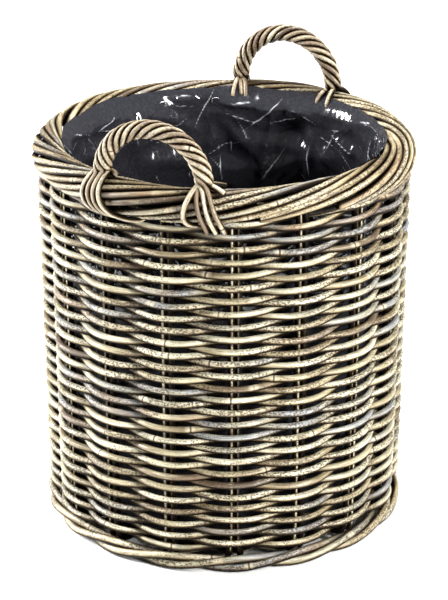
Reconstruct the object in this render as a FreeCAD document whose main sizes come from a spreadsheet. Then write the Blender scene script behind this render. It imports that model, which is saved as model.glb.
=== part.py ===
"""A round wicker log basket with two roped handles and a polythene liner.

Frame: millimetres, +Z up, origin on the floor under the middle of the basket.
The handles stand at the front (-Y) and the back (+Y). Angles round the basket
are measured from the front, anticlockwise seen from above.

The wall is plain weave: an odd number of upright stake pairs with one
continuous course of weavers spiralling round them, so that each row passes the
other side of a stake from the row below it. The same stakes are turned over at
the top and laid round each other as a rolled rim.
"""
import FreeCAD, Part
import math
import os
import Sketcher

from FreeCAD import Placement, Rotation, Vector

SIZES = {
    "rod_diameter": 8.3,
    "stake_pairs": 17,
    "first_stake_angle": 5.6,
    "pair_spacing": 8.8,
    "stake_radius_low": 226.9,
    "stake_radius_high": 232.4,
    "weave_bottom": 32.5,
    "row_rise": 8.4,
    "rows_per_weaver": 4,
    "weaver_count": 13,
    "weave_clearance": 0.3,
    "rim_radius": 227.6,
    "rim_height": 498,
    "rim_lay_radius": 18.5,
    "foot_rod_diameter": 10,
    "foot_height": 14.4,
    "foot_rise": 23,
    "base_height": 18.5,
    "base_stick_diameter": 8.6,
    "base_weaver_diameter": 7.6,
    "base_weave_start": 58,
    "base_weave_end": 206,
    "base_row_pitch": 8,
    "handle_half_width": 68,
    "handle_top_front": 600,
    "handle_top_back": 608,
    "handle_spring": 526,
    "handle_core_diameter": 9.6,
    "strand_diameter": 6.7,
    "strand_lay_radius": 8.6,
    "strand_count": 6,
    "liner_thickness": 2.5,
    "liner_floor": 32,
    "liner_radius_low": 211,
    "liner_radius_high": 217.4,
    "liner_shoulder": 462,
    "liner_mouth_radius": 204.4,
    "liner_top": 509,
    "staple_wire": 1.2,
    "staple_width": 10,
    "staple_leg": 7,
}

FOOT_RODS = 3              # rods in the foot's wale; the stake pairs are two more than a multiple
BEND_SHARE = 0.45          # share of a straight run that each bend beside it takes up
HANDLE_STEPS = 32          # corners of each strand over a handle's arch
STEPS_PER_TURN = 12        # of which each full turn round the core takes this many

doc = FreeCAD.newDocument("LogBasket")
sheet = doc.addObject("Spreadsheet::Sheet", "sizes")
for row, (alias, number) in enumerate(SIZES.items(), start=1):
    sheet.set(f"A{row}", alias)
    sheet.set(f"B{row}", str(number))
    sheet.setAlias(f"B{row}", alias)
doc.recompute()

nodes = []


def size(alias):
    """The value of one driving dimension."""
    return float(sheet.get(alias))


def keep(piece):
    """Take a finished piece into the list that is written out."""
    nodes.append(piece)
    return piece


# ---------------------------------------------------------------- geometry

def around(angle, radius, height):
    """The point at an angle in degrees round the basket from the front."""
    turn = math.radians(angle)
    return Vector(radius * math.sin(turn), -radius * math.cos(turn), height)


def stake_angle(number):
    """The angle of one stake pair; numbers past the last one go round again."""
    return size("first_stake_angle") + number * stake_spacing()


def stake_spacing():
    """The angle between neighbouring stake pairs."""
    return 360 / size("stake_pairs")


def stake_radius(height):
    """The stake circle's radius, which grows slowly from the floor to the rim."""
    low = size("stake_radius_low")
    high = size("stake_radius_high")
    return low + (high - low) * height / size("rim_height")


def bent_path(corners):
    """One wire of straight runs joined by tangent arcs that round the corners off."""
    edges = []
    start = corners[0]
    for before, corner, after in zip(corners, corners[1:], corners[2:]):
        arriving = corner - before
        leaving = after - corner
        cut = BEND_SHARE * min(arriving.Length, leaving.Length)
        arriving.normalize()
        leaving.normalize()
        bend = arriving.getAngle(leaving)
        radius = cut / math.tan(bend / 2)
        inward = leaving - arriving
        inward.normalize()
        middle = corner + inward * (math.hypot(radius, cut) - radius)
        arc_start = corner - arriving * cut
        arc_end = corner + leaving * cut
        edges.append(Part.LineSegment(start, arc_start).toShape())
        edges.append(Part.Arc(arc_start, middle, arc_end).toShape())
        start = arc_end
    edges.append(Part.LineSegment(start, corners[-1]).toShape())
    return Part.Wire(edges)


def rod(label, corners, diameter_alias):
    """A round rod swept along a bent path, its thickness bound to the sheet."""
    path = doc.addObject("Part::Feature", label + "_path")
    path.Shape = bent_path(corners)
    section = doc.addObject("Part::Circle", label + "_section")
    section.setExpression("Radius", f"sizes.{diameter_alias} / 2")
    heading = corners[1] - corners[0]
    section.Placement = Placement(corners[0], Rotation(Vector(0, 0, 1), heading))
    sweep = doc.addObject("Part::Sweep", label)
    sweep.Label = label
    sweep.Sections = [section]
    sweep.Spine = (path, [f"Edge{index + 1}" for index in range(len(path.Shape.Edges))])
    sweep.Solid = True
    sweep.Frenet = False
    return sweep


def group(label, pieces):
    """Several like pieces kept together as one sub-part."""
    compound = doc.addObject("Part::Compound", label)
    compound.Label = label
    compound.Links = pieces
    return compound


# ---------------------------------------------------------------- stakes and rim

def rim_point(angle, lay, lay_radius):
    """A point on the rolled rim; lay goes from 0 outside over 90 on top to 180 inside."""
    turn = math.radians(lay)
    radius = size("rim_radius") + lay_radius * math.cos(turn)
    return around(angle, radius, size("rim_height") + lay_radius * math.sin(turn))


def stake_corners(number, side):
    """One stake from its tail in the base, up the wall and round the rim to its cut end.

    side is -1 for the left stake of the pair, which bends first, and +1 for the right
    one, which bends higher and passes over it. Both run leftwards through the rim, up
    its inside, over the top and down to their cut ends on the outside.
    """
    tail_start = 172
    tail_spread = 10
    upset_spread = 7.5
    straight_from = 46
    spacings_swept = 5.5
    corners_per_spacing = 2
    lay_per_spacing = 57
    nesting = 13.7
    angle = stake_angle(number)
    base = size("base_height")
    upset = stake_radius(base) + 1
    bend_height = size("rim_height") - 17 + 5 * side
    top = stake_radius(bend_height) - 1
    half = size("pair_spacing") / 2

    def beside(radius, offset):
        return angle + math.degrees(side * offset / radius)

    corners = [
        around(beside(tail_start, tail_spread), tail_start, base),
        around(beside(upset, upset_spread), upset, base - 2),
        around(beside(upset, half), stake_radius(straight_from), straight_from),
        around(beside(top, half), top, bend_height),
    ]
    for step in range(1, round(spacings_swept * corners_per_spacing) + 1):
        spacings = step / corners_per_spacing
        lay = -90 - spacings * lay_per_spacing + nesting * side
        bearing = angle - spacings * stake_spacing()
        corners.append(rim_point(bearing, lay, size("rim_lay_radius")))
    return corners


def make_stakes():
    for number in range(int(size("stake_pairs"))):
        name = f"stake_pair_{number + 1:02d}"
        left = rod(name + "_left", stake_corners(number, -1), "rod_diameter")
        right = rod(name + "_right", stake_corners(number, 1), "rod_diameter")
        keep(group(name, [left, right]))


# ---------------------------------------------------------------- side weave

def corner_radii(height):
    """Corner radii that put the bent weaver just clear of the stakes on both sides.

    A bend passes inside its corner, so the outer corners stand further out than
    the weaver itself; a few rounds settle how far.
    """
    pass_by = size("rod_diameter") + size("weave_clearance")
    outer_goal = stake_radius(height) + pass_by
    inner_goal = stake_radius(height) - pass_by
    spacing = stake_spacing()
    outer, inner = outer_goal, inner_goal
    for _ in range(12):
        before = around(-spacing, inner, 0)
        corner = around(0, outer, 0)
        after = around(spacing, inner, 0)
        outer_bend = (corner - before).getAngle(after - corner)
        inner_bend = outer_bend - 2 * math.radians(spacing)
        cut = BEND_SHARE * (corner - before).Length
        outer = outer_goal + cut * math.tan(outer_bend / 4)
        inner = inner_goal - cut * math.tan(inner_bend / 4)
    return outer, inner


def weaver_corners(first, last):
    """The corners of a weaver from one stake crossing to another; odd ones are inside."""
    tip_gap = 0.15
    corners = []
    for crossing in range(first, last + 1):
        height = size("weave_bottom") + size("row_rise") * crossing / size("stake_pairs")
        outer, inner = corner_radii(height)
        angle = stake_angle(crossing)
        if crossing == first:
            angle += tip_gap
        if crossing == last:
            angle -= tip_gap
        corners.append(around(angle, inner if crossing % 2 else outer, height))
    return corners


def make_side_weave():
    crossings = int(size("rows_per_weaver") * size("stake_pairs"))
    for number in range(int(size("weaver_count"))):
        first = 1 + number * crossings
        corners = weaver_corners(first, first + crossings)
        keep(rod(f"side_weaver_{number + 1:02d}", corners, "rod_diameter"))


# ---------------------------------------------------------------- foot

def foot_corners(strand):
    """One rod of the three-rod foot wale: outside two stakes, rising, then inside one.

    The rods start at neighbouring stakes. Each runs round until it meets the start of
    the next one, and the last until it meets the start of the first.
    """
    pass_by = (size("foot_rod_diameter") + size("rod_diameter")) / 2
    outside = stake_radius(0) + pass_by + 7.5
    inside = stake_radius(0) - pass_by - 1
    half_rise = size("foot_rise") / 2
    places = [(inside, -half_rise / 2), (outside, -half_rise), (outside, half_rise)]
    tip_gap = 0.15
    last = int(size("stake_pairs")) + (1 if strand < FOOT_RODS - 1 else 1 - FOOT_RODS)
    corners = []
    for step in range(last + 1):
        radius, rise = places[step % len(places)]
        angle = stake_angle(strand + step)
        if step == 0:
            angle += tip_gap
        if step == last:
            angle -= tip_gap
        corners.append(around(angle, radius, size("foot_height") + rise))
    return corners


def make_foot():
    for strand in range(FOOT_RODS):
        keep(rod(f"foot_wale_{strand + 1}", foot_corners(strand), "foot_rod_diameter"))


# ---------------------------------------------------------------- base

def make_base_sticks():
    """Four sticks across the basket with four and a half laid over them.

    Near the middle each group lies side by side; further out the sticks fan out to
    the stake pairs, one spoke to each.
    """
    spacing = size("base_stick_diameter") + 1.2
    layer = size("base_stick_diameter") / 2 + 0.2
    cross_half = 24
    fan_start = 50
    spoke_end = 214
    base = size("base_height")

    def spoke_run(spoke):
        return [around(stake_angle(spoke), radius, base) for radius in (spoke_end, fan_start)]

    across = [(2, 14, -1.5), (3, 13, -0.5), (4, 12, 0.5), (5, 11, 1.5)]
    lower = []
    for right, left, place in across:
        crossing = [Vector(end * cross_half, place * spacing, base - layer) for end in (1, -1)]
        corners = spoke_run(right) + crossing + spoke_run(left)[::-1]
        lower.append(rod(f"base_stick_across_{right}", corners, "base_stick_diameter"))
    keep(group("base_sticks_across", lower))

    along = [(6, 1, 2), (7, 0, 1), (8, 16, 0), (9, 15, -1)]
    upper = []
    for back, front, place in along:
        crossing = [Vector(place * spacing, end * cross_half, base + layer) for end in (1, -1)]
        corners = spoke_run(back) + crossing + spoke_run(front)[::-1]
        upper.append(rod(f"base_stick_along_{back}", corners, "base_stick_diameter"))
    short_crossing = [Vector(-2 * spacing, end * cross_half, base + layer) for end in (-0.8, 1)]
    short = short_crossing + spoke_run(10)[::-1]
    upper.append(rod("base_stick_short", short, "base_stick_diameter"))
    keep(group("base_sticks_along", upper))


def base_weave_corners(first, last):
    """The spiral base weaver, two corners at each spoke: over one spoke, under the next."""
    pass_by = (size("base_stick_diameter") + size("base_weaver_diameter")) / 2 + 0.9
    tail_zone = 168
    corners = []
    for crossing in range(first, last):
        radius = size("base_weave_start") + size("base_row_pitch") * crossing / size("stake_pairs")
        half_width = 13 if radius > tail_zone else 5
        side = 1 if crossing % 2 else -1
        height = size("base_height") + side * pass_by
        spread = math.degrees(half_width / radius)
        corners.append(around(stake_angle(crossing) - spread, radius, height))
        corners.append(around(stake_angle(crossing) + spread, radius, height))
    return corners


def make_base_weave():
    rows = (size("base_weave_end") - size("base_weave_start")) / size("base_row_pitch")
    crossings = int(rows * size("stake_pairs"))
    middle = crossings // 2
    keep(rod("base_weaver_inner", base_weave_corners(0, middle), "base_weaver_diameter"))
    keep(rod("base_weaver_outer", base_weave_corners(middle, crossings), "base_weaver_diameter"))


# ---------------------------------------------------------------- handles

def leg_angle():
    """How far round the rim from the handle's middle each leg stands, in degrees."""
    return math.degrees(math.asin(size("handle_half_width") / size("rim_radius")))


def arch_frame(step, top):
    """The arch's centre point and its outward-of-the-arch direction at one step."""
    turn = math.pi * step / HANDLE_STEPS
    half_width = size("handle_half_width")
    rise = top - size("strand_lay_radius") - size("strand_diameter") / 2 - size("handle_spring")
    plane = -size("rim_radius") * math.cos(math.radians(leg_angle()))
    centre = Vector(-half_width * math.cos(turn), plane, size("handle_spring") + rise * math.sin(turn))
    away = Vector(-math.cos(turn) / half_width, 0, math.sin(turn) / rise)
    away.normalize()
    return centre, away


def strand_turn(strand, step):
    """The strand's place round the core in radians: 0 faces out of the basket."""
    return 2 * math.pi * ((strand + 0.5) / size("strand_count") + step / STEPS_PER_TURN)


def strand_point(strand, step, top):
    centre, away = arch_frame(step, top)
    turn = strand_turn(strand, step)
    front = Vector(0, -1, 0)
    return centre + (front * math.cos(turn) + away * math.sin(turn)) * size("strand_lay_radius")


def tail_corners(strand, step, leg):
    """A strand's tail over the rim: four go outside and down, two just over the inside."""
    turn = strand_turn(strand, step)
    facing = math.cos(turn)
    places = 0.5 if abs(facing) > 0.5 else 1.5
    across = leg * math.copysign(places * (size("strand_diameter") + 0.5), math.sin(turn))
    angle = leg * leg_angle() + math.degrees(across / size("rim_radius"))
    clear = size("rim_lay_radius") + size("rod_diameter") / 2 + size("strand_diameter") / 2 + 1.6
    if facing > -0.5:
        over = [rim_point(angle, lay, clear) for lay in (52, 8, -32)]
        return over + [around(angle, size("rim_radius") + 22.5, size("rim_height") - 36)]
    return [rim_point(angle, 118, clear), rim_point(angle, 146, clear)]


def make_handle(name, top_alias, half_turn):
    """One roped handle: a bent core with strands laid round it and tucked over the rim."""
    top = size(top_alias)
    place = Placement(Vector(0, 0, 0), Rotation(Vector(0, 0, 1), half_turn))
    stand = Vector(0, 0, size("handle_spring") - size("rim_height") - 24)
    arch = [arch_frame(step, top)[0] for step in range(0, HANDLE_STEPS + 1, 4)]
    core_corners = [arch[0] - stand] + arch[1:-1] + [arch[-1] - stand]
    core = rod(name + "_core", core_corners, "handle_core_diameter")
    core.Placement = place
    keep(core)
    for strand in range(int(size("strand_count"))):
        start_tail = tail_corners(strand, 0, -1)
        end_tail = tail_corners(strand, HANDLE_STEPS, 1)
        laid = [strand_point(strand, step, top) for step in range(HANDLE_STEPS + 1)]
        corners = start_tail[::-1] + laid + end_tail
        piece = rod(f"{name}_strand_{strand + 1}", corners, "strand_diameter")
        piece.Placement = place
        keep(piece)


# ---------------------------------------------------------------- liner

def make_liner():
    """The polythene bag: a thin cup that fills the wicker and ends inside the rim."""
    body = doc.addObject("PartDesign::Body", "liner_bag")
    body.Label = "liner_bag"
    planes = {feature.Role: feature for feature in body.Origin.OriginFeatures}
    sketch = body.newObject("Sketcher::SketchObject", "liner_profile")
    sketch.AttachmentSupport = [(planes["XZ_Plane"], "")]
    sketch.MapMode = "FlatFace"
    outline = [
        ("0", "liner_floor"),
        ("liner_radius_low", "liner_floor"),
        ("liner_radius_high", "liner_shoulder"),
        ("liner_mouth_radius", "liner_top - 22"),
        ("liner_mouth_radius", "liner_top"),
        ("liner_mouth_radius - liner_thickness", "liner_top"),
        ("liner_mouth_radius - liner_thickness", "liner_top - 22"),
        ("liner_radius_high - liner_thickness", "liner_shoulder"),
        ("liner_radius_low - liner_thickness", "liner_floor + liner_thickness"),
        ("0", "liner_floor + liner_thickness"),
    ]

    def value(formula):
        names = {alias: size(alias) for alias in SIZES}
        total = 0.0
        sign = 1
        for word in formula.split():
            if word in "+-":
                sign = 1 if word == "+" else -1
            else:
                total += sign * (names[word] if word in names else float(word))
        return total

    points = [Vector(value(across), value(up), 0) for across, up in outline]
    for index, point in enumerate(points):
        sketch.addGeometry(Part.LineSegment(point, points[(index + 1) % len(points)]), False)
    for index in range(len(points)):
        sketch.addConstraint(Sketcher.Constraint("Coincident", index, 2, (index + 1) % len(points), 1))
    for index, (across, up) in enumerate(outline):
        for kind, formula in (("DistanceX", across), ("DistanceY", up)):
            if value(formula) == 0:
                sketch.addConstraint(Sketcher.Constraint("PointOnObject", index, 1, -2))
                continue
            number = sketch.addConstraint(Sketcher.Constraint(kind, -1, 1, index, 1, value(formula)))
            bound = " ".join("sizes." + word if word in SIZES else word for word in formula.split())
            sketch.setExpression(f"Constraints[{number}]", bound)
    revolution = body.newObject("PartDesign::Revolution", "liner_turned")
    revolution.Profile = sketch
    revolution.ReferenceAxis = (sketch, ["V_Axis"])
    revolution.Angle = 360
    body.Tip = revolution
    keep(body)


def make_staples():
    """Wire staples that hold the liner's edge to the rim, one beside each stake pair."""
    staples = []
    wire = size("staple_wire")
    half = math.degrees(size("staple_width") / 2 / size("liner_mouth_radius"))
    crown = size("liner_mouth_radius") - size("liner_thickness") - wire / 2 - 0.2
    tip = crown - wire / 2 - 0.2
    height = size("liner_top") - 5
    for number in range(int(size("stake_pairs"))):
        angle = stake_angle(number + 0.5)
        corners = [
            around(angle - half, tip, height - size("staple_leg")),
            around(angle - half, crown, height),
            around(angle + half, crown, height),
            around(angle + half, tip, height - size("staple_leg")),
        ]
        staples.append(rod(f"staple_{number + 1:02d}", corners, "staple_wire"))
    keep(group("liner_staples", staples))


# ---------------------------------------------------------------- whole basket

def check_and_write():
    """Stop on any failed object or shape, then write one STEP file per sub-part."""
    for item in doc.Objects:
        if "Invalid" in item.State or "Error" in item.State:
            raise RuntimeError(f"{item.Label} failed: {item.State}")
    for node in nodes:
        if node.Shape.isNull() or not node.Shape.isValid():
            raise RuntimeError(f"{node.Label} has no valid shape")
    os.makedirs("parts", exist_ok=True)
    for node in nodes:
        node.Shape.exportStep(f"parts/{node.Label}.step")


make_base_sticks()
make_base_weave()
make_stakes()
make_side_weave()
make_foot()
make_handle("handle_front", "handle_top_front", 0)
make_handle("handle_back", "handle_top_back", 180)
make_liner()
make_staples()
doc.recompute()
check_and_write()
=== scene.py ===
import math

import bpy
import numpy as np
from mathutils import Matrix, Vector


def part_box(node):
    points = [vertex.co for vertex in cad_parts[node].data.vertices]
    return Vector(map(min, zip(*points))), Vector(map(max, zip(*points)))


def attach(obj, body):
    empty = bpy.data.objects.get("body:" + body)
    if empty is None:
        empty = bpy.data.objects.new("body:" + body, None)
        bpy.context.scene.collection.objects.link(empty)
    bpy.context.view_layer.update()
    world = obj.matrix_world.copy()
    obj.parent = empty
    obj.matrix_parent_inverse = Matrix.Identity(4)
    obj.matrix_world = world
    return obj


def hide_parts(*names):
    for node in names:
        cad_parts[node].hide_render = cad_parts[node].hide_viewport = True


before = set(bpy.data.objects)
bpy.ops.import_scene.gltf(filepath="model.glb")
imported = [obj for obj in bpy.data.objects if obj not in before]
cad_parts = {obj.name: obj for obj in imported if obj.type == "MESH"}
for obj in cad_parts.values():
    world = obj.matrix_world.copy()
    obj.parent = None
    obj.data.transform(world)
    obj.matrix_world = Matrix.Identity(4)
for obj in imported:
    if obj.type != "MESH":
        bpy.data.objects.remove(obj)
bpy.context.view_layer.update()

RNG = np.random.default_rng(15)

# ------------------------------------------------------------------ sizes from the frame

STAKES = 17
ROWS_PER_WEAVER = 4
WEAVERS = 13
FIRST_STAKE = math.radians(5.6)
STAKE_STEP = 2 * math.pi / STAKES
CANE = 0.0083                      # thickness of the stakes
WEAVER = 0.0088                    # thickness of the side weavers
FOOT_CANE = 0.0102
STRAND = 0.0070                    # thickness of the handles' strands
PAIR_HALF = 0.0044                 # half the spacing of the two stakes in a pair
PAIR_LAY = 13.7                    # the same in degrees round the rolled rim
TAIL_END_R = 0.172                 # how far in under the base the stakes' tails reach
BASE_STICK = 0.0086
BASE_CANE = 0.0078                 # thickness of the base's weaving
HANDLE_CORE = 0.0048               # radius of the handles' bent cores
HANDLE_SPRING = 0.526              # height at which the handles' arches start
UP = np.array([0.0, 0.0, 1.0])

LOW_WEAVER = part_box("side_weaver_01")
HIGH_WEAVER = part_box(f"side_weaver_{WEAVERS:02d}")
WEAVE_BOTTOM = LOW_WEAVER[0].z + CANE / 2 - 0.0005
WEAVE_TOP = HIGH_WEAVER[1].z - CANE / 2
ROW_RISE = (WEAVE_TOP - WEAVE_BOTTOM) / (WEAVERS * ROWS_PER_WEAVER)
WEAVE_DEPTH = CANE + 0.0003        # how far the weavers swing out and in past the stakes
TOP_PACKING = 34                   # crossings that the top weaver runs on for, under the rim
FOOT_PACKING = 10                  # crossings that the bottom weaver starts early by


def half_width(box):
    """Half of a box's mean width in X and Y."""
    return (box[1].x - box[0].x + box[1].y - box[0].y) / 4


WALL_LOW = half_width(LOW_WEAVER) - CANE / 2 - WEAVE_DEPTH
WALL_HIGH = half_width(HIGH_WEAVER) - CANE / 2 - WEAVE_DEPTH
LAY_RATE = 57 / math.degrees(STAKE_STEP)   # turn round the roll for each degree round the basket
RIM_LAY = 0.0185                   # from the rim's middle line to its canes' middle lines
ROLL = RIM_LAY + CANE / 2 - 0.0010   # how far the rolled rim reaches from its middle line
RIM_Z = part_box("stake_pair_01")[1].z - ROLL
RIM_R = max(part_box(f"stake_pair_{number + 1:02d}")[1].x for number in range(STAKES)) - ROLL
LINER_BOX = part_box("liner_bag")


def wall_radius(z):
    """The stake circle's radius at a height."""
    share = (z - WEAVE_BOTTOM) / (WEAVE_TOP - WEAVE_BOTTOM)
    return WALL_LOW + (WALL_HIGH - WALL_LOW) * share


def around(angle, radius, z):
    """Points at angles round the basket; any argument may be an array."""
    angle, radius, z = np.broadcast_arrays(angle, radius, z)
    return np.stack([radius * np.sin(angle), -radius * np.cos(angle), z], -1).astype(float)


def stake_angle(number):
    return FIRST_STAKE + number * STAKE_STEP


# ------------------------------------------------------------------ curves and tubes

def wave(x, seed):
    """A smooth wandering value of x, about -1 to 1, the same for the same seed."""
    rng = np.random.default_rng(seed)
    total = np.zeros_like(np.asarray(x, float))
    for octave in range(4):
        rate = 0.6 * 1.7 ** octave * rng.uniform(0.8, 1.25)
        total += np.sin(2 * np.pi * (rate * x + rng.uniform())) / 1.35 ** octave
    return total / 2.2


def spline(points, step=0.004):
    """A smooth line near the points, from the first to the last, sampled about every step."""
    points = np.asarray(points, float)
    padded = np.vstack([2 * points[0] - points[1], points, 2 * points[-1] - points[-2]])
    samples = []
    for a, b, c, d in zip(padded, padded[1:], padded[2:], padded[3:]):
        count = max(2, int(np.linalg.norm(c - b) / step))
        t = np.linspace(0, 1, count, endpoint=False)[:, None]
        samples.append(
            (a * (1 - t) ** 3 + b * (3 * t**3 - 6 * t**2 + 4)
             + c * (-3 * t**3 + 3 * t**2 + 3 * t + 1) + d * t**3) / 6
        )
    return np.vstack(samples + [points[-1:]])


def capped(values):
    """Values along a cane, the first and last repeated for the rings of its cut ends."""
    return np.concatenate([values[:1], values[:1], values, values[-1:], values[-1:]])


def across_vectors(tangent):
    """Two unit vectors across a path at each of its points, carried along without twist."""
    side = np.empty_like(tangent)
    start = np.array([0.0, 0.0, 1.0]) if abs(tangent[0][2]) < 0.9 else np.array([1.0, 0.0, 0.0])
    side[0] = start - tangent[0] * start.dot(tangent[0])
    side[0] /= np.linalg.norm(side[0])
    for i in range(1, len(tangent)):
        vector = side[i - 1] - tangent[i] * side[i - 1].dot(tangent[i])
        side[i] = vector / math.sqrt(vector.dot(vector))
    return side, np.cross(tangent, side)


def nearest_knot(along, spacing, rng):
    """The signed distance from each point to its nearest knot."""
    count = int(along[-1] / spacing) + 3
    spots = np.cumsum(rng.uniform(0.55, 1.45, count)) * spacing - spacing * rng.uniform()
    gap = along[:, None] - spots[None, :]
    return gap[np.arange(len(along)), np.abs(gap).argmin(1)]


def radius_along(along, knot, thickness, seed, taper):
    """A cane's radius along it: it wanders, swells at the knots and may taper to its ends."""
    wander, wander_length = 0.035, 0.11
    swelling, knot_length = 0.055, 0.003
    tip_share = 0.25
    radius = thickness / 2 * (1 + wander * wave(along / wander_length, int(seed * 1e8)))
    radius = radius * (1 + swelling * np.exp(-((knot / knot_length) ** 2)))
    for length, from_end in zip(taper, (along, along[-1] - along)):
        if length:
            radius = radius * np.clip(tip_share + (1 - tip_share) * (from_end / length), 0, 1)
    return radius


def painted_shading_round(facing, shade, smooth):
    """Painted shade on each ring, least on its lit side; where smooth, dark but for one painted
    highlight line.
    """
    # painted highlight: one narrow bright line on the lit side, painted shade all round the rest
    dark_with_highlight_line = 1 - 0.98 * np.clip(facing, 0, 1) ** 13
    painted_shading = (0.5 - 0.5 * facing) * (1 - smooth[:, None]) + dark_with_highlight_line * smooth[:, None]
    return np.clip(painted_shading + shade[:, None], 0, 1)


def end_rings(centre, ring, lift):
    """The rounded edge of a cut end and the edge of its flat face; lift points outwards."""
    spokes = ring - centre
    return [centre + spokes * 0.9 + lift * 0.13, centre + spokes * 0.72 + lift * 0.18]


class CaneMesh:
    """Gathers tubes into one mesh with the attributes that the cane materials read.

    grain: metres along the cane, then the place on its section; seed: one number per cane;
    knot: signed distance along to the nearest knot; cut: 1 on cut end faces; painted_shading:
    painted shade, 0 on the lit side, 1 in the crevices and on the undersides;
    polish_and_highlight_line: 1 where it is slightly glossier and painted dark with one painted
    highlight line.
    """

    def __init__(self):
        self.points, self.faces = [], []
        self.values = {"grain": [], "seed": [], "knot": [], "cut": [], "painted_shading": [], "polish_and_highlight_line": []}
        self.count = 0

    def add(self, path, thickness, bright_side=UP, shade=0.0, polish_and_highlight_line=0.0, sides=12, knots=0.30, taper=(0, 0)):
        """One cane along a path.

        bright_side: the direction of its lit side, one for all or one for each point, painted shade
        growing away from it; shade: more painted shade along it; polish_and_highlight_line: where it
        is slightly glossier and painted dark with one painted highlight line; knots: metres from knot
        to knot; taper: each end's pointed length in metres.
        """
        path = np.asarray(path, float)
        seed = RNG.uniform()
        tangent = np.gradient(path, axis=0)
        tangent /= np.linalg.norm(tangent, axis=1)[:, None]
        along = np.concatenate([[0], np.cumsum(np.linalg.norm(np.diff(path, axis=0), axis=1))])
        knot = nearest_knot(along, knots, np.random.default_rng(int(seed * 1e9)))
        radius = radius_along(along, knot, thickness, seed, taper)

        side, other = across_vectors(tangent)
        turn = np.linspace(0, 2 * np.pi, sides, endpoint=False)
        ring = 1 + 0.025 * np.cos(3 * turn + 6 * seed) + 0.02 * np.cos(2 * turn + 20 * seed)
        across = (np.cos(turn) * ring)[None, :, None] * side[:, None, :]
        upward = (np.sin(turn) * ring)[None, :, None] * other[:, None, :]
        body = path[:, None, :] + radius[:, None, None] * (across + upward)
        first = end_rings(path[0], body[0], -tangent[0] * radius[0])[::-1]
        last = end_rings(path[-1], body[-1], tangent[-1] * radius[-1])
        rings = np.concatenate([np.array(first), body, np.array(last)])

        bright_side = np.broadcast_to(bright_side, path.shape)
        # painted shade grows as the surface turns from its lit side; where smooth it is painted dark
        # with one painted highlight line instead
        facing = ((across + upward) * bright_side[:, None, :]).sum(-1)
        smooth = np.broadcast_to(polish_and_highlight_line, len(path))
        painted_shading = painted_shading_round(facing, np.broadcast_to(shade, len(path)), smooth)
        grain = np.empty((len(rings), sides, 3))
        grain[..., 0] = capped(along)[:, None] + 13 * seed
        grain[..., 1] = np.cos(turn)[None, :] * capped(radius)[:, None]
        grain[..., 2] = np.sin(turn)[None, :] * capped(radius)[:, None]
        cut = np.zeros((len(rings), sides))
        cut[0] = cut[-1] = 1.0

        self.points.append(rings.reshape(-1, 3))
        self.values["grain"].append(grain.reshape(-1, 3))
        self.values["seed"].append(np.full(cut.size, seed))
        self.values["knot"].append(np.repeat(capped(knot), sides))
        self.values["cut"].append(cut.ravel())
        self.values["painted_shading"].append(capped(painted_shading).ravel())
        self.values["polish_and_highlight_line"].append(np.repeat(capped(smooth), sides))
        self.link(len(rings), sides)

    def link(self, rows, sides):
        """Faces between neighbouring rings of the newest tube, and one at each end."""
        index = self.count + np.arange(rows * sides).reshape(rows, sides)
        nxt = np.roll(index, -1, axis=1)
        quads = np.stack([index[:-1], nxt[:-1], nxt[1:], index[1:]], -1).reshape(-1, 4)
        self.faces += quads.tolist()
        self.faces.append(index[0][::-1].tolist())
        self.faces.append(index[-1].tolist())
        self.count += rows * sides

    def build(self, name, material, slot, *nodes):
        """Make the object, smooth-shaded, riding on the basket and standing for its CAD nodes."""
        mesh = bpy.data.meshes.new(name)
        mesh.from_pydata(np.vstack(self.points).tolist(), [], self.faces)
        for label, parts in self.values.items():
            kind, key = ("FLOAT_VECTOR", "vector") if label == "grain" else ("FLOAT", "value")
            attribute = mesh.attributes.new(label, kind, "POINT")
            attribute.data.foreach_set(key, np.concatenate(parts).astype(np.float32).ravel())
        mesh.polygons.foreach_set("use_smooth", [True] * len(mesh.polygons))
        mesh.materials.append(material)
        piece = bpy.data.objects.new(name, mesh)
        bpy.context.scene.collection.objects.link(piece)
        finish_piece(piece, slot, *nodes)


def finish_piece(piece, slot, *nodes):
    """Fix a piece to the basket's body and let it stand for its CAD nodes."""
    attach(piece, "root")
    if nodes:
        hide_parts(*nodes)


# ------------------------------------------------------------------ materials

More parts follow.
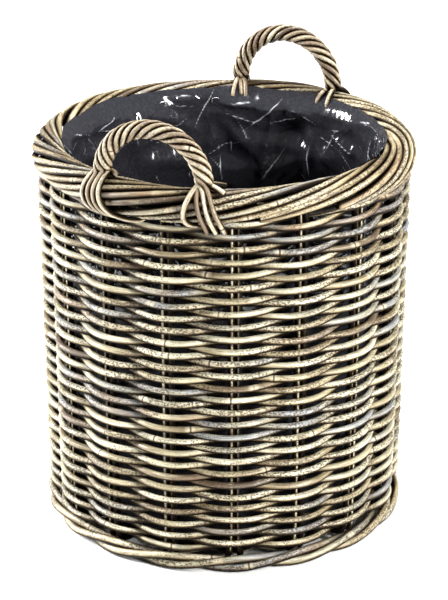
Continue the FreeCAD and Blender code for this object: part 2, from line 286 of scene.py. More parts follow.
class Shader:
    """Short calls for laying out a node material."""

    def __init__(self, name):
        self.material = bpy.data.materials.new(name)
        self.material.use_nodes = True
        self.tree = self.material.node_tree
        self.surface = self.tree.nodes["Principled BSDF"]

    def node(self, kind, inputs=None, **settings):
        made = self.tree.nodes.new(kind)
        for key, value in settings.items():
            setattr(made, key, value)
        for key, value in (inputs or {}).items():
            self.feed(made.inputs[key], value)
        return made

    def feed(self, socket, value):
        if isinstance(value, bpy.types.NodeSocket):
            self.tree.links.new(value, socket)
        else:
            socket.default_value = value

    def attribute(self, name, output="Fac"):
        return self.node("ShaderNodeAttribute", attribute_name=name).outputs[output]

    def math(self, operation, a, b=0.0, c=0.0):
        made = self.node("ShaderNodeMath", {0: a, 1: b, 2: c}, operation=operation)
        return made.outputs[0]

    def spread(self, value, low, high, to_low=0.0, to_high=1.0):
        """Map low..high to to_low..to_high smoothly, and hold it there."""
        made = self.node(
            "ShaderNodeMapRange",
            {"Value": value, "From Min": low, "From Max": high, "To Min": to_low, "To Max": to_high},
            interpolation_type="SMOOTHSTEP",
        )
        return made.outputs[0]

    def scaled(self, vector, x, y, z):
        made = self.node("ShaderNodeVectorMath", {0: vector, 1: (x, y, z)}, operation="MULTIPLY")
        return made.outputs[0]

    def noise(self, vector, scale=1.0, detail=3.0, roughness=0.5):
        made = self.node(
            "ShaderNodeTexNoise",
            {"Vector": vector, "Scale": scale, "Detail": detail, "Roughness": roughness},
        )
        return made.outputs["Fac"]

    def ramp(self, value, stops):
        made = self.node("ShaderNodeValToRGB", {"Fac": value})
        elements = made.color_ramp.elements
        while len(elements) < len(stops):
            elements.new(0.5)
        for element, (place, colour) in zip(elements, stops):
            element.position = place
            element.color = (*colour, 1.0)
        return made.outputs["Color"]

    def mix(self, share, a, b, blend="MIX"):
        made = self.node("ShaderNodeMix", data_type="RGBA", blend_type=blend)
        for socket, value in ((made.inputs[0], share), (made.inputs[6], a), (made.inputs[7], b)):
            if isinstance(value, tuple):
                value = (*value, 1.0)
            self.feed(socket, value)
        return made.outputs[2]

    def bump(self, height, strength, distance, normal=None):
        inputs = {"Height": height, "Strength": strength, "Distance": distance}
        if normal is not None:
            inputs["Normal"] = normal
        return self.node("ShaderNodeBump", inputs).outputs[0]


PALE_PATCH = (0.74, 0.68, 0.52)
DARK_PATCH = (0.16, 0.11, 0.065)
FLECK = (0.060, 0.038, 0.020)
KNOT_BAND = (0.70, 0.63, 0.47)
KNOT_RING = (0.045, 0.028, 0.016)
FIBRES = [(0.34, (0.35, 0.32, 0.26)), (0.58, (0.96, 1.0, 0.99))]
CUT_FACE = [(0.35, (0.20, 0.14, 0.08)), (0.6, (0.66, 0.55, 0.37))]
# Darkening ramp: random dirty patches together with painted shade in the crevices and on the undersides.
DIRT_AND_PAINTED_SHADE = [
    (0.15, (1.0, 1.0, 1.0)),
    (0.27, (0.58, 0.50, 0.41)),
    (0.38, (0.11, 0.080, 0.055)),
    (0.54, (0.014, 0.010, 0.007)),
]


def cane_material(name, stops, fleck=0.88):
    """Weathered cane bark: tones that wander along each cane, fibres, flecks and knot rings, with
    painted shade in its crevices and on its undersides.
    """
    s = Shader(name)
    grain = s.attribute("grain", "Vector")
    seed = s.attribute("seed")
    knot = s.math("ABSOLUTE", s.attribute("knot"))
    cut = s.attribute("cut")
    painted_shading = s.attribute("painted_shading")

    along = s.node("ShaderNodeSeparateXYZ", {0: grain}).outputs[0]

    def drift(rate, offset):
        """A value that wanders along the cane and differs from cane to cane."""
        place = s.node(
            "ShaderNodeCombineXYZ",
            {0: s.math("MULTIPLY", along, rate), 1: s.math("MULTIPLY", seed, 91.0), 2: offset},
        )
        return s.noise(place.outputs[0], detail=2.0, roughness=0.6)

    tone = s.math("MULTIPLY_ADD", drift(3.2, 0.0), 1.5, -0.25)
    tone = s.math("MULTIPLY_ADD", s.math("SUBTRACT", seed, 0.5), 0.50, tone)
    colour = s.ramp(tone, stops)

    patches = s.noise(s.scaled(grain, 34.0, 190.0, 190.0), detail=4.0, roughness=0.62)
    colour = s.mix(s.spread(patches, 0.48, 0.70, 0.0, 0.60), colour, PALE_PATCH)
    colour = s.mix(s.spread(patches, 0.46, 0.30, 0.0, 0.45), colour, DARK_PATCH)
    fibres = s.noise(s.scaled(grain, 40.0, 900.0, 900.0), detail=4.0, roughness=0.65)
    colour = s.mix(1.0, colour, s.ramp(fibres, FIBRES), "MULTIPLY")

    dots = s.node("ShaderNodeTexVoronoi", {"Vector": s.scaled(grain, 330.0, 430.0, 430.0), "Scale": 1.0})
    mottled = s.spread(drift(6.0, 7.0), 0.36, 0.58, 0.20, 0.52)
    reach = s.math("SUBTRACT", mottled, dots.outputs["Distance"])
    speckle = s.spread(reach, -0.05, 0.10)
    colour = s.mix(s.math("MULTIPLY", speckle, fleck), colour, FLECK)

    ringed = s.spread(drift(16.0, 3.0), 0.42, 0.50, 0.15, 1.0)
    ring = s.math("MULTIPLY", s.spread(knot, 0.0006, 0.0016, 1.0, 0.0), ringed)
    band = s.spread(knot, 0.0020, 0.0090, 0.45, 0.0)
    colour = s.mix(band, colour, KNOT_BAND)
    colour = s.mix(s.math("MULTIPLY", ring, 0.9), colour, KNOT_RING)

    ends = s.noise(s.scaled(grain, 900.0, 1900.0, 1900.0), detail=1.0)
    colour = s.mix(cut, colour, s.ramp(ends, CUT_FACE))
    # random dirty patches plus painted shade, multiplied into the colour
    dirt_and_painted_shade = s.math("MULTIPLY_ADD", patches, 0.30, s.math("ADD", painted_shading, -0.15))
    colour = s.mix(1.0, colour, s.ramp(dirt_and_painted_shade, DIRT_AND_PAINTED_SHADE), "MULTIPLY")

    s.feed(s.surface.inputs["Base Color"], colour)
    rough = s.spread(patches, 0.3, 0.7, 0.60, 0.36)
    s.feed(s.surface.inputs["Roughness"], s.math("MULTIPLY_ADD", s.attribute("polish_and_highlight_line"), -0.10, rough))
    s.feed(s.surface.inputs["Specular IOR Level"], s.spread(painted_shading, 0.15, 0.42, 0.5, 0.06))
    ridge = s.bump(fibres, 0.45, 0.0005)
    pits = s.bump(s.math("MULTIPLY", speckle, -1.0), 0.6, 0.0005, ridge)
    groove = s.bump(s.math("MULTIPLY", ring, -1.0), 0.8, 0.0006, pits)
    s.feed(s.surface.inputs["Normal"], groove)
    return s.material


WEATHERED = [
    (0.06, (0.070, 0.042, 0.025)),
    (0.18, (0.170, 0.115, 0.068)),
    (0.30, (0.310, 0.250, 0.150)),
    (0.42, (0.450, 0.390, 0.255)),
    (0.54, (0.740, 0.690, 0.540)),
    (0.64, (0.420, 0.390, 0.290)),
    (0.74, (0.300, 0.310, 0.330)),
    (0.84, (0.310, 0.215, 0.130)),
    (0.95, (0.560, 0.490, 0.350)),
]
HANDLE_TONES = [
    (0.10, (0.100, 0.064, 0.038)),
    (0.32, (0.190, 0.126, 0.078)),
    (0.52, (0.340, 0.265, 0.180)),
    (0.74, (0.620, 0.550, 0.430)),
    (0.92, (0.210, 0.146, 0.092)),
]


def film_material():
    """Black polythene: glossy, dusty lower down, with painted highlights in grey-white along its creases
    in its upper part.
    """
    s = Shader("liner_film")
    place = s.node("ShaderNodeNewGeometry").outputs["Position"]
    bent = s.node("ShaderNodeTexNoise", {"Vector": place, "Scale": 9.0, "Detail": 2.0}).outputs["Color"]
    shift = {0: bent, 1: (0.03, 0.03, 0.03), 2: place}
    warped = s.node("ShaderNodeVectorMath", shift, operation="MULTIPLY_ADD").outputs[0]
    lattice = {"Vector": warped, "Scale": 17.0}
    cells = s.node("ShaderNodeTexVoronoi", lattice, feature="DISTANCE_TO_EDGE").outputs[0]
    fine = s.noise(place, scale=22.0, detail=2.0, roughness=0.4)
    dust = s.noise(place, scale=240.0, detail=2.0)

    height = s.node("ShaderNodeSeparateXYZ", {0: place}).outputs[2]
    dusty = s.spread(height, 0.28, 0.37, 1.0, 0.0)
    black = s.ramp(dust, [(0.4, (0.017, 0.017, 0.021)), (0.75, (0.026, 0.026, 0.033))])
    # painted highlights: grey-white lines along the sharp creases, broken up by noise, only above about
    # 0.33 m
    high_up = s.spread(height, 0.33, 0.37)
    lines = s.math("MULTIPLY", s.spread(s.attribute("crease"), 0.66, 1.0), high_up)
    highlight_breaks = s.spread(s.noise(place, scale=30.0, detail=3.0), 0.44, 0.54)
    colour = s.mix(s.math("MULTIPLY", lines, highlight_breaks), black, (0.62, 0.64, 0.68))
    gloss = s.spread(dust, 0.3, 0.7, 0.08, 0.14)

    s.feed(s.surface.inputs["Base Color"], colour)
    s.feed(s.surface.inputs["Roughness"], s.math("MULTIPLY_ADD", dusty, 0.45, gloss))
    s.feed(s.surface.inputs["Specular IOR Level"], s.spread(height, 0.28, 0.37, 0.10, 0.6))
    ridges = s.bump(s.spread(cells, 0.0, 0.035, 1.0, 0.0), 0.12, 0.0030)
    s.feed(s.surface.inputs["Normal"], s.bump(fine, 0.12, 0.0040, ridges))
    return s.material


def wire_material():
    """Dull galvanised wire."""
    s = Shader("staple_metal")
    place = s.node("ShaderNodeNewGeometry").outputs["Position"]
    wear = s.noise(place, scale=900.0, detail=3.0)
    colour = s.ramp(wear, [(0.3, (0.30, 0.30, 0.31)), (0.7, (0.62, 0.62, 0.63))])
    s.feed(s.surface.inputs["Base Color"], colour)
    s.feed(s.surface.inputs["Roughness"], s.spread(wear, 0.3, 0.7, 0.25, 0.5))
    s.surface.inputs["Metallic"].default_value = 1.0
    s.feed(s.surface.inputs["Normal"], s.bump(wear, 0.2, 0.0002))
    return s.material


def floor_material():
    """A plain pale floor with the faintest mottle."""
    s = Shader("studio_floor")
    place = s.node("ShaderNodeNewGeometry").outputs["Position"]
    mottle = s.noise(place, scale=3.0, detail=3.0)
    colour = s.ramp(mottle, [(0.3, (0.93, 0.93, 0.93)), (0.7, (0.95, 0.95, 0.95))])
    s.feed(s.surface.inputs["Base Color"], colour)
    s.surface.inputs["Roughness"].default_value = 0.9
    s.surface.inputs["Specular IOR Level"].default_value = 0.0
    return s.material


# ------------------------------------------------------------------ stakes, rim and side weave

def rim_point(angle, lay, clear):
    """A point on the rolled rim; lay is 0 outside, 90 degrees on top, 180 inside."""
    turn = np.radians(lay)
    return around(angle, RIM_R + clear * np.cos(turn), RIM_Z + clear * np.sin(turn))


def stake_path(number, side, nudge, sweep):
    """One stake: tail in the base, up the wall, then leftwards through the rim.

    In the rim it climbs the inside, crosses the top and comes down to its cut end outside.
    side: -1 or 1 in its pair; nudge: how far its lay wanders in degrees, that wander's phase,
    its lift's phase and a shift of its lift; sweep: degrees round the basket to its cut end.
    Returns the path, the direction of its lit side, its extra painted shade, and where it is glossier
    and painted dark with one painted highlight line.
    """
    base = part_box("stake_pair_01")[0].z + CANE / 2 + 0.0005
    angle = stake_angle(number)
    half = side * PAIR_HALF / WALL_LOW
    bend_z = RIM_Z - 0.009 + 0.003 * side
    turn_up_r = 0.205

    corners = [around(angle + side * 0.010 / TAIL_END_R, TAIL_END_R, base)]
    corners.append(around(angle + side * 0.009 / turn_up_r, turn_up_r, base))
    corners.append(around(angle + side * 0.0075 / WALL_LOW, WALL_LOW - 0.002, base + 0.001))
    for z in np.linspace(0.042, bend_z - 0.006, 9):
        corners.append(around(angle + half, wall_radius(z), z))
    corners.append(around(angle + half, wall_radius(bend_z) - 0.002, bend_z))
    lay_wander, lay_phase, lift_phase, lift_shift = nudge
    degrees_apart = 4
    for ahead in np.arange(degrees_apart, sweep, degrees_apart):
        wander = lay_wander * math.sin(ahead * 0.05 + lay_phase)
        lay = -90 - ahead * LAY_RATE + PAIR_LAY * side + wander
        outside = 0.5 + 0.5 * math.cos(math.radians(lay))
        lift = RIM_LAY + (lift_shift + 0.0015 * math.sin(ahead * 0.09 + lift_phase)) * outside
        settle = min(1.0, 0.25 + ahead / 26)
        corners.append(rim_point(angle - math.radians(ahead), lay, lift * settle))
    path = spline(corners)

    bearing = np.arctan2(path[:, 0], -path[:, 1])
    middle = around(bearing, RIM_R, RIM_Z)
    past_bend = np.cumsum(path[:, 2] > bend_z - 0.001)
    in_rim = np.clip(past_bend * 0.004 / 0.030, 0, 1)
    share = in_rim[:, None]
    # Up the wall its lit side faces straight out, for the painted highlight line; in the rim it faces
    # out from the roll and a little up, with painted shade between the rim's canes.
    bright_side = (path - middle) * share + around(bearing, 1.0, 0.0) * (1 - share)
    bright_side /= np.linalg.norm(bright_side, axis=1)[:, None]
    bright_side = bright_side + UP * 0.18 * share
    bright_side /= np.linalg.norm(bright_side, axis=1)[:, None]
    # painted shade over the whole rim, narrowing its lit band
    rim_painted_shade = 0.18
    return path, bright_side, rim_painted_shade * in_rim, 1 - in_rim


def make_stakes(material):
    for number in range(STAKES):
        mesh = CaneMesh()
        nudge = (RNG.uniform(3, 9), RNG.uniform(0, 6), RNG.uniform(0, 6), RNG.uniform(-0.0015, 0.0012))
        for side in (-1, 1):
            path, bright_side, shade, polish_and_highlight_line = stake_path(number, side, nudge, RNG.uniform(114, 138))
            mesh.add(path, CANE * RNG.uniform(0.96, 1.15), bright_side, shade, polish_and_highlight_line)
        mesh.build(f"cane_pair_{number + 1:02d}", material, "stake_cane", f"stake_pair_{number + 1:02d}")


def weaver_path(first, last):
    """A weaver from one stake crossing to another; even crossings pass outside.

    Returns the path, the direction of its lit side and its extra painted shade.
    """
    crossing = np.linspace(first + 0.03, last - 0.03, int((last - first) * 20))
    angle = FIRST_STAKE + crossing * STAKE_STEP
    row = crossing / STAKES
    z = WEAVE_BOTTOM + ROW_RISE * row
    z = z + 0.0010 * wave(angle * 0.9 + 0.15 * row, 5) + 0.0006 * wave(crossing * 0.45, 6)
    swing = np.cos(np.pi * crossing)
    depth = WEAVE_DEPTH * (1 + 0.05 * wave(crossing * 0.37, 7))
    radius = wall_radius(z) + depth * swing * (1.12 - 0.12 * swing**2)
    # lit side: out and up, so undersides and crevices get painted shade
    bright_side = around(angle, 0.57, 0.82)
    # painted shade where it passes in behind the stakes; darker canes and painted shadow just under the
    # rim; also darker towards the foot
    near_foot = np.clip(1 - z / 0.13, 0, 1)
    near_rim = np.clip((z - 0.41) / 0.05, 0, 1)
    inside = np.clip(0.5 - 0.5 * swing, 0, 1)
    shade = 0.22 * inside + 0.16 * near_foot + 0.08 * near_rim
    return around(angle, radius, z), bright_side, shade


def make_side_weave(material):
    """Each CAD weaver shows as two canes of two turns each, joined behind a stake.

    The first starts early, packed down on the foot, and the last runs on up under the rim.
    """
    per_weaver = ROWS_PER_WEAVER * STAKES
    half = per_weaver // 2
    for number in range(WEAVERS):
        mesh = CaneMesh()
        first = 1 + number * per_weaver - (FOOT_PACKING if number == 0 else 0)
        joint = 1 + number * per_weaver + half
        last = joint + half + (TOP_PACKING if number == WEAVERS - 1 else 0)
        for start, end in ((first, joint), (joint, last)):
            path, bright_side, shade = weaver_path(start, end)
            mesh.add(path, WEAVER * RNG.uniform(0.95, 1.05), bright_side, shade)
        name = f"weaver_{number + 1:02d}"
        mesh.build("cane_" + name, material, "weaver_cane", "side_" + name)


# ------------------------------------------------------------------ foot and base

def make_foot(material):
    """The three-rod wale: each cane passes outside two stakes, rising, then inside one.

    Each runs round until it meets the start of the next, the last that of the first.
    """
    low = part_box("foot_wale_1")[0].z
    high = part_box("foot_wale_1")[1].z
    middle = (low + high) / 2
    rise = (high - low) / 2 - FOOT_CANE / 2
    outer = half_width(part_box("foot_wale_1")) + 0.0008 - FOOT_CANE / 2
    twist_depth = 0.0195
    inner = outer - twist_depth
    places = [(inner, -rise * 0.45), (outer, -rise), (outer, rise)]
    for strand in range(3):
        corners = []
        last = STAKES + 1 if strand < 2 else STAKES - 2
        for step in range(last + 1):
            for part in (0, 0.5):
                if step == last and part:
                    continue
                r0, z0 = places[step % 3]
                r1, z1 = places[(step + 1) % 3]
                bow = 0.0012 if part and r0 == r1 else 0.0
                radius = r0 + (r1 - r0) * part + bow
                angle = stake_angle(strand + step + part)
                corners.append(around(angle, radius, middle + z0 + (z1 - z0) * part))
        mesh = CaneMesh()
        path = spline(corners)
        # lit side: out and up; painted shade on its undersides and inner faces, and 0.15 darker all over
        bright_side = around(np.arctan2(path[:, 0], -path[:, 1]), 0.68, 0.73)
        mesh.add(path, FOOT_CANE, bright_side, shade=0.15, sides=14)
        mesh.build(f"cane_foot_{strand + 1}", material, "foot_cane", f"foot_wale_{strand + 1}")


def make_base(material):
    """Sticks crossing in the middle, fanned out to the stakes, with weaving round them."""
    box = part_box("base_sticks_across")
    layer = BASE_STICK / 2 + 0.0002
    middle = (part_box("base_weaver_inner")[0].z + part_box("base_weaver_inner")[1].z) / 2
    spacing = BASE_STICK + 0.0012
    end = max(box[1].x, -box[0].x) - 0.001

    def spoke(number):
        return [around(stake_angle(number), radius, middle) for radius in (end, 0.16, 0.1, 0.05)]

    def stick_path(near, far, across, place, level):
        crossing = []
        for reach in (0.024, 0.008, -0.008, -0.024):
            flat = (reach, place * spacing) if across else (place * spacing, reach)
            crossing.append(np.array([*flat, middle + level]))
        return spline(spoke(near) + crossing + spoke(far)[::-1])

    # Their lit side faces down: painted shade on their upper faces and in the crevices between them.
    lower = CaneMesh()
    for right, left, place in ((2, 14, -1.5), (3, 13, -0.5), (4, 12, 0.5), (5, 11, 1.5)):
        lower.add(stick_path(right, left, True, place, -layer), BASE_STICK, -UP)
    lower.build("cane_sticks_across", material, "base_cane", "base_sticks_across")
    upper = CaneMesh()
    for back, front, place in ((6, 1, 2), (7, 0, 1), (8, 16, 0), (9, 15, -1)):
        upper.add(stick_path(back, front, False, place, layer), BASE_STICK, -UP)
    short = [np.array([-2 * spacing, reach, middle + layer]) for reach in (-0.019, 0.0, 0.024)]
    upper.add(spline(short + spoke(10)[::-1]), BASE_STICK, -UP)
    upper.build("cane_sticks_along", material, "base_cane", "base_sticks_along")

    start = 0.058                  # radii where the weaving starts and ends
    finish = 0.206
    pitch = 0.008
    lift = 0.009                   # how far it swings over and under the sticks
    crossings = int((finish - start) / pitch * STAKES)
    halfway = crossings // 2
    for name, first, last in (("inner", 0, halfway), ("outer", halfway, crossings)):
        corners = []
        for crossing in range(first, last):
            radius = start + pitch * crossing / STAKES
            past_tails = radius > TAIL_END_R - 0.004
            reach = (0.013 if past_tails else 0.005) / radius
            level = middle + (lift if crossing % 2 else -lift)
            corners.append(around(stake_angle(crossing) - reach, radius, level))
            corners.append(around(stake_angle(crossing) + reach, radius, level))
        mesh = CaneMesh()
        mesh.add(spline(corners, 0.006), BASE_CANE, -UP, sides=10)
        mesh.build(f"cane_base_{name}", material, "base_cane", f"base_weaver_{name}")


# ------------------------------------------------------------------ handles

STRANDS = 6
ARCH_STEPS = 48
TURNS = 32 / 12                    # turns that a strand makes round the core over the arch
STRAND_LAY = 0.0085


def arch(name, share):
    """The handle arch's centre and its outward-of-the-arch direction, left leg to right leg."""
    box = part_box(name + "_core")
    half = (box[1].x - box[0].x) / 2 - HANDLE_CORE
    rise = box[1].z - HANDLE_CORE - HANDLE_SPRING
    turn = math.pi * share
    plane = -abs(box[0].y + box[1].y) / 2
    centre = np.array([-half * math.cos(turn), plane, HANDLE_SPRING + rise * math.sin(turn)])
    away = np.array([-math.cos(turn) / half, 0, math.sin(turn) / rise])
    return centre, away / np.linalg.norm(away)


def strand_point(name, strand, share):
    centre, away = arch(name, share)
    turn = 2 * math.pi * ((strand + 0.5) / STRANDS + TURNS * share)
    front = np.array([0.0, -1.0, 0.0])
    return centre + (front * math.cos(turn) + away * math.sin(turn)) * STRAND_LAY


def tail(leg_angle, points):
    """A tail's points from (metres along the rim, lay in degrees, clearance) triples."""
    clear = RIM_LAY + CANE / 2 + STRAND / 2
    return [rim_point(leg_angle + along / RIM_R, lay, clear + out) for along, lay, out in points]


# Each leg's tails, in the order of their places round the core: outside, away from the
# arch, its back, inside, its other back, towards the arch. Each is a list of (metres along
# the rim, lay in degrees, extra clearance) from the leg to the tip.
LEFT_TAILS = [
    [(0.000, 62, 0.001), (-0.003, 25, 0.001), (0.000, -12, 0.001), (0.010, -42, 0.001),
     (0.024, -62, -0.001), (0.038, -72, -0.006)],
    [(-0.007, 62, 0.002), (-0.011, 22, 0.002), (-0.008, -14, 0.002), (0.003, -44, 0.001),
     (0.016, -64, -0.002), (0.029, -76, -0.007)],
    [(-0.006, 108, 0.001), (0.004, 118, 0.001), (0.012, 126, 0.000)],
    [(0.006, 102, 0.001), (0.017, 94, 0.001), (0.027, 78, 0.000)],
    [(0.012, 66, 0.001), (0.012, 28, 0.001), (0.016, -8, 0.001), (0.025, -36, 0.001),
     (0.041, -52, 0.001), (0.056, -57, 0.000), (0.068, -62, -0.004)],
    [(0.006, 62, 0.001), (0.005, 26, 0.001), (0.008, -10, 0.001), (0.017, -40, 0.001),
     (0.032, -60, -0.001), (0.045, -70, -0.005)],
]
RIGHT_TAILS = [
    [(0.006, 58, 0.001), (0.010, 22, 0.001), (0.015, -10, 0.001), (0.021, -36, 0.003),
     (0.025, -50, 0.008)],
    [(0.007, 86, 0.001), (0.015, 72, 0.001), (0.024, 54, 0.001)],
    [(0.006, 112, 0.001), (0.018, 122, 0.001), (0.026, 128, 0.000)],
    [(-0.009, 70, 0.003), (-0.017, 30, 0.003), (-0.022, -8, 0.002), (-0.018, -38, 0.001),
     (-0.008, -62, -0.003)],
    [(-0.007, 60, 0.001), (-0.007, 24, 0.001), (-0.003, -8, 0.001), (0.002, -36, 0.002),
     (0.005, -54, 0.006)],
    [(0.000, 58, 0.001), (0.002, 22, 0.001), (0.006, -10, 0.001), (0.011, -38, 0.003),
     (0.015, -52, 0.007)],
]


# On the back handle the tails at the back and inside of each leg run down the rim's inner face.
INNER_TAILS = {
    1: [(0.001, 84, 0.001), (0.000, 112, 0.001), (-0.002, 138, 0.000), (-0.003, 160, -0.001)],
    2: [(-0.006, 104, 0.001), (-0.009, 132, 0.001), (-0.010, 156, 0.000), (-0.010, 170, -0.001)],
    3: [(0.004, 100, 0.001), (0.007, 128, 0.001), (0.009, 150, 0.000), (0.010, 166, 0.000)],
}


def make_handle(name, back, material):
    """Strands laid round a bent core; the back handle is the front one turned round."""
    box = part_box(name + "_core")
    leg = math.asin(((box[1].x - box[0].x) / 2 - HANDLE_CORE) / RIM_R)
    half_turn = np.diag([-1.0, -1.0, 1.0]) if back else np.eye(3)
    core = CaneMesh()
    centre_line = [arch(name, share)[0] for share in np.linspace(0, 1, 25)]
    below = UP * 0.0035
    feet = [centre_line[0] - below, centre_line[-1] - below]
    core.add(spline([feet[0], *centre_line, feet[1]]) @ half_turn, 2 * HANDLE_CORE)
    core.build(name.replace("handle", "cane_bow"), material, "handle_cane", name + "_core")
    shares = np.linspace(0, 1, ARCH_STEPS + 1)
    arch_line = np.array([arch(name, share)[0] for share in shares])
    for strand in range(STRANDS):
        end_place = (strand + round(TURNS * STRANDS)) % STRANDS
        laid = [strand_point(name, strand, share) for share in shares]
        left, right = LEFT_TAILS[strand], RIGHT_TAILS[end_place]
        if back:
            left = INNER_TAILS.get(strand, left) if strand > 1 else left
            right = INNER_TAILS.get(end_place, right)
        points = tail(-leg, left)[::-1] + laid + tail(leg, right)
        path = spline(points, 0.003)
        gap = np.linalg.norm(path[:, None, :] - arch_line[None, :, :], axis=2)
        nearest = arch_line[gap.argmin(1)]
        on_arch = np.clip((path[:, 2] - HANDLE_SPRING + 0.002) / 0.012, 0, 1)[:, None]
        bearing = np.arctan2(path[:, 0], -path[:, 1])
        roll = path - around(bearing, RIM_R, RIM_Z)
        # lit side: out from the core on the arch and out from the rim's roll on the tails, with painted
        # shade in the grooves between strands
        bright_side = (path - nearest) * on_arch / STRAND_LAY + roll * (1 - on_arch) / 0.026
        bright_side /= np.linalg.norm(bright_side, axis=1)[:, None]
        mesh = CaneMesh()
        mesh.add(
            path @ half_turn, STRAND * RNG.uniform(0.92, 1.06), bright_side @ half_turn,
            shade=0.11, knots=0.22, taper=(0.006, 0),
        )
        look = name.replace("handle", "cane_strand") + f"_{strand + 1}"
        mesh.build(look, material, "handle_cane", f"{name}_strand_{strand + 1}")


# ------------------------------------------------------------------ liner

def add_fold(height, arc, down, length, start, lean, reach, widths, size):
    """Press one sharp-crested fold into the film's height map.

    start: where it begins, (arc, down); lean: its direction from straight down; widths:
    half its width at the start and at the end; size: how high its crest stands.
    """
    side = (arc - start[0] + length / 2) % length - length / 2
    drop = down - start[1]
    along = (drop * math.cos(lean) + side * math.sin(lean)) / reach
    across = -drop * math.sin(lean) + side * math.cos(lean)
    bend = 0.03 * reach * np.sin(3.0 * along + start[0] * 50)
    across = across + bend
    inside = (along > 0) & (along < 1)
    t = np.clip(along, 0, 1)
    width = widths[0] + (widths[1] - widths[0]) * t
    tent = np.clip(1 - np.abs(across) / width, 0, 1)
    crest = size * np.sin(np.pi * t) ** 0.7 * tent
    return np.maximum(height, np.where(inside, crest, 0))


def softened(height):
    """The height map with its sharpest steps between neighbours eased."""
    for _ in range(3):
        height = (np.roll(height, 1, axis=1) + 2 * height + np.roll(height, -1, axis=1)) / 4
        edged = np.vstack([height[:1], height, height[-1:]])
        height = (edged[:-2] + 2 * height + edged[2:]) / 4
    return height


def film_height(arc, down, length):
    """How far the film bulges inwards, and where it is sharply creased, 0 to 1.

    It hangs in folds and fans of puckers, with thin creases across them.
    """
    rng = np.random.default_rng(42)
    crease_size = 0.0012
    layers = []
    # How many folds of each kind, and the ranges of their lengths, half widths and heights.
    for count, reach, width, size in (
        (40, (0.14, 0.30), (0.026, 0.060), (0.009, 0.019)),
        (34, (0.08, 0.22), (0.014, 0.024), (0.005, 0.009)),
        (230, (0.03, 0.17), (0.0040, 0.0050), (0.0011, 0.0013)),
    ):
        height = np.zeros_like(arc)
        for _ in range(count):
            start = (rng.uniform(0, length), rng.uniform(-0.03, 0.26))
            lean = rng.normal(0, 0.8) + rng.choice([-0.5, 0.5])
            fold_width = rng.uniform(*width)
            height = add_fold(
                height, arc, down, length, start, lean, rng.uniform(*reach),
                (fold_width * rng.uniform(0.6, 1.0), fold_width), rng.uniform(*size),
            )
        layers.append(height)
    fans, sharp = np.zeros_like(arc), layers[-1]
    for number in range(STAKES):
        pin = (stake_angle(number + 0.5) + rng.normal(0, 0.03)) * length / (2 * np.pi)
        drop = rng.uniform(0.004, 0.030)
        for lean in np.linspace(-1.25, 1.25, rng.integers(2, 5)) + rng.normal(0, 0.12):
            ray = rng.uniform(0.05, 0.14)
            fans = add_fold(
                fans, arc, down, length, (pin, drop), lean, ray,
                (0.0065, rng.uniform(0.012, 0.022)), rng.uniform(0.004, 0.009),
            )
            sharp = add_fold(
                sharp, arc, down, length, (pin, drop), lean, ray, (0.0040, 0.0048), crease_size,
            )
    crease = np.clip(sharp / crease_size, 0, 1)
    layers.append(fans)
    swell = 0.004 * wave(arc * 3.3, 51) * wave(down * 5 + 0.2, 52)
    return softened(sum(layers)) + swell, crease


LINER_LAP = 0.0240                 # from the rim's middle line to the film lapped round it
LINER_FLOOR = LINER_BOX[0].z + 0.0015
LINER_DROP = RIM_Z - 0.004 - LINER_FLOOR
LINER_ROUND = 2 * np.pi * (RIM_R - LINER_LAP)


def liner_wall(columns, rows):
    """The film's wall as a grid of points from its edge down, and its creases."""
    angle = np.linspace(0, 2 * np.pi, columns, endpoint=False)[None, :].repeat(rows, 0)
    arc = angle * LINER_ROUND / (2 * np.pi)
    edge_lay = 131 + 7 * wave(angle * 1.4, 53) + 5 * np.abs(wave(angle * 6, 54))
    lap_run = LINER_LAP * np.radians(180 - edge_lay)
    run = np.linspace(0, 1, rows)[:, None].repeat(columns, 1) ** 1.35 * (lap_run + LINER_DROP)

    lay = np.radians(np.clip(edge_lay + np.degrees(run / LINER_LAP), 0, 180))
    hang = np.clip(run - lap_run, 0, None)
    ease = np.clip(hang / 0.05, 0, 1)
    ease = ease * ease * (3 - 2 * ease)
    radius = RIM_R + LINER_LAP * np.cos(lay) + 0.007 * ease - 0.003 * np.clip((hang - 0.25) / 0.2, 0, 1)
    z = RIM_Z + LINER_LAP * np.sin(lay) - hang

    film, crease = film_height(arc, run, LINER_ROUND)
    fade = np.clip(run / 0.022, 0, 1) ** 1.5
    bottom = np.clip((LINER_DROP - hang) / 0.06, 0.25, 1)
    radius = radius - film * fade * bottom
    z = z - 0.25 * film * fade * bottom
    return around(angle, radius, z), crease


def liner_floor(edge, rings):
    """Rings of points from the wall's last row in towards the middle, gently swelling."""
    angle = np.linspace(0, 2 * np.pi, len(edge), endpoint=False)
    floor = []
    for step in range(1, rings):
        share = 1 - step / rings
        ring = edge * np.array([share, share, 1])
        swell = 0.004 * wave(angle * 1.5 + share * 3, 20 + step // 3)
        ring[:, 2] += np.abs(swell) * min(1, (1 - share) * 6)
        floor.append(ring)
    return floor


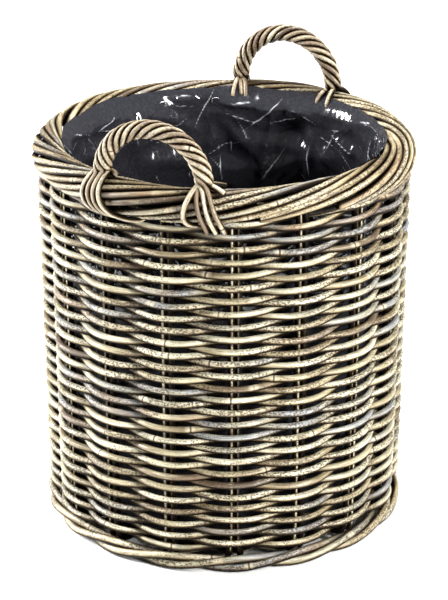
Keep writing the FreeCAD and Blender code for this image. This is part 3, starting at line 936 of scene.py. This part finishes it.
def make_liner(material):
    """The bag: film lapped over the rim's inner shoulder, gathered and creased all over."""
    columns, rows, rings = 580, 158, 10
    wall, crease = liner_wall(columns, rows)
    middle = [[0, 0, LINER_FLOOR + 0.001]]
    points = np.vstack([wall.reshape(-1, 3), *liner_floor(wall[-1], rings), middle])
    total = rows + rings - 1
    index = np.arange(total * columns).reshape(total, columns)
    nxt = np.roll(index, -1, axis=1)
    quads = np.stack([index[:-1], index[1:], nxt[1:], nxt[:-1]], -1).reshape(-1, 4).tolist()
    fan = [[int(a), total * columns, int(b)] for a, b in zip(index[-1], nxt[-1])]

    mesh = bpy.data.meshes.new("liner_film")
    mesh.from_pydata(points.tolist(), [], quads + fan)
    mesh.polygons.foreach_set("use_smooth", [True] * len(mesh.polygons))
    marks = np.zeros(len(points), np.float32)
    marks[:crease.size] = crease.ravel()
    mesh.attributes.new("crease", "FLOAT", "POINT").data.foreach_set("value", marks)
    mesh.materials.append(material)
    piece = bpy.data.objects.new("liner_film", mesh)
    bpy.context.scene.collection.objects.link(piece)
    finish_piece(piece, "liner_polythene", "liner_bag")


def make_staples(material):
    """A small wire staple through the film between each two stake pairs."""
    mesh = CaneMesh()
    wire = 0.0012
    leg = 0.007
    crown = LINER_BOX[1].z - 0.007
    mouth = RIM_R - RIM_LAY - CANE / 2 - 0.0030
    half = 0.005 / mouth
    for number in range(STAKES):
        pin = stake_angle(number + 0.5)
        corners = [
            around(pin - half, mouth - 0.0004, crown - leg),
            around(pin - half, mouth, crown - 0.001),
            around(pin - half * 0.8, mouth, crown),
            around(pin + half * 0.8, mouth, crown),
            around(pin + half, mouth, crown - 0.001),
            around(pin + half, mouth - 0.0004, crown - leg),
        ]
        mesh.add(spline(corners, 0.001), wire, sides=8, knots=5.0)
    mesh.build("staple_wires", material, "staple_wire", "liner_staples")


# ------------------------------------------------------------------ studio

def make_floor():
    """A wide flat floor."""
    mesh = bpy.data.meshes.new("studio_floor")
    half = 9.0
    corners = [(-half, -half, 0), (half, -half, 0), (half, half, 0), (-half, half, 0)]
    mesh.from_pydata(corners, [], [(0, 1, 2, 3)])
    mesh.materials.append(floor_material())
    floor = bpy.data.objects.new("studio_floor", mesh)
    bpy.context.scene.collection.objects.link(floor)


def area_light(name, place, aim, size, power, tint=(1, 1, 1)):
    data = bpy.data.lights.new(name, "AREA")
    data.shape = "RECTANGLE"
    data.size, data.size_y = size
    data.energy = power
    data.color = tint
    light = bpy.data.objects.new(name, data)
    bpy.context.scene.collection.objects.link(light)
    point_at(light, place, aim)


def point_at(thing, place, aim):
    """Put something at a place, facing another."""
    thing.location = Vector(place)
    thing.rotation_euler = (Vector(aim) - Vector(place)).to_track_quat("-Z", "Y").to_euler()


def make_studio():
    world = bpy.data.worlds.new("studio")
    bpy.context.scene.world = world
    world.use_nodes = True
    sky = world.node_tree.nodes["Background"]
    sky.inputs["Color"].default_value = (1.0, 1.0, 1.0, 1.0)
    sky.inputs["Strength"].default_value = 0.17
    middle = (0, 0, 0.3)
    area_light("top", (0.1, 0.4, 3.3), middle, (0.8, 0.8), 160)
    area_light("left", (-2.64, -0.56, 1.3), middle, (0.35, 1.5), 262, (1.0, 0.99, 0.97))
    area_light("right", (2.54, -0.92, 1.3), middle, (0.35, 1.5), 185, (1.0, 0.99, 0.97))
    bpy.context.scene.view_settings.view_transform = "Standard"


def make_camera():
    """A long lens from the front right, looking down at the angle of the catalogue view."""
    azimuth, elevation, distance = math.radians(23.4), math.radians(22.45), 2.988
    target = np.array([0.0, 0.0, 0.283])
    direction = np.array([
        math.sin(azimuth) * math.cos(elevation),
        -math.cos(azimuth) * math.cos(elevation),
        math.sin(elevation),
    ])
    data = bpy.data.cameras.new("camera")
    data.lens = 134.2
    data.sensor_width = 36
    camera = bpy.data.objects.new("camera", data)
    bpy.context.scene.collection.objects.link(camera)
    point_at(camera, target + direction * distance, target)
    bpy.context.scene.camera = camera


make_camera()
make_studio()
make_floor()
wall_cane = cane_material("weathered_cane", WEATHERED)
base_cane = cane_material("base_cane", WEATHERED, fleck=0.5)
handle_cane = cane_material("handle_cane", HANDLE_TONES, fleck=0.4)
make_stakes(wall_cane)
make_side_weave(wall_cane)
make_foot(wall_cane)
make_base(base_cane)
make_handle("handle_front", False, handle_cane)
make_handle("handle_back", True, handle_cane)
make_liner(film_material())
make_staples(wire_material())
